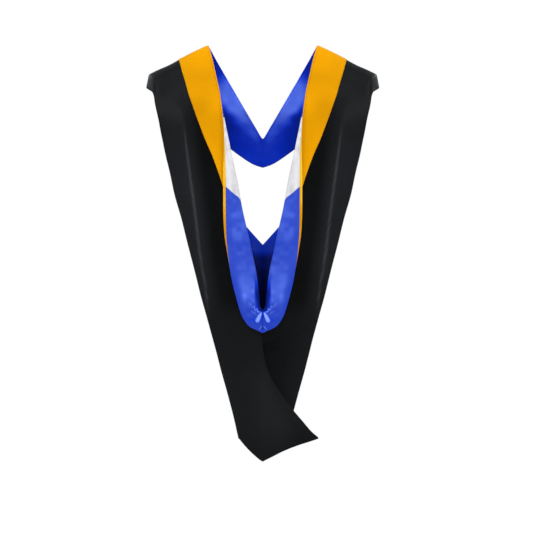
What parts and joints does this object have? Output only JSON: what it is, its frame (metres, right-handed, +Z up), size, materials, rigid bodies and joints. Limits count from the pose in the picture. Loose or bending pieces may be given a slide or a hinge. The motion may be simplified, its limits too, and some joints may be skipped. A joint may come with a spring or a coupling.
{
  "type": "academic hood, master's shape, as worn",
  "caption": "Black academic hood for a master's graduate, with a gold velvet band, a royal-blue satin lining and a white chevron, in the form it takes when worn.",
  "frame": {"origin": "midway between the two highest points of the neck edge, where the hood sits on the wearer's shoulders", "axes": "+Z up, +Y towards the wearer's front, +X towards the wearer's right"},
  "size_m": [0.5904, 0.3039, 1.0559],
  "materials": {
    "black_cloth": "matte woven polyester",
    "gold_velvet": "short-pile velvet",
    "blue_satin": "satin",
    "white_satin": "satin"
  },
  "bodies": {
    "root": {"yoke_left": "black_cloth", "yoke_right": "black_cloth", "wing_left": "black_cloth", "wing_right": "black_cloth", "tail_left": "black_cloth", "tail_right": "black_cloth", "back_panel_left": "black_cloth", "back_panel_right": "black_cloth", "velvet_band_left": "gold_velvet", "velvet_band_right": "gold_velvet", "yoke_lining_left": "blue_satin", "yoke_lining_right": "blue_satin", "shoulder_lining_left": "blue_satin", "shoulder_lining_right": "blue_satin", "chevron_left": "white_satin", "chevron_right": "white_satin", "back_lining_left": "blue_satin", "back_lining_right": "blue_satin"}
  },
  "joints": []
}
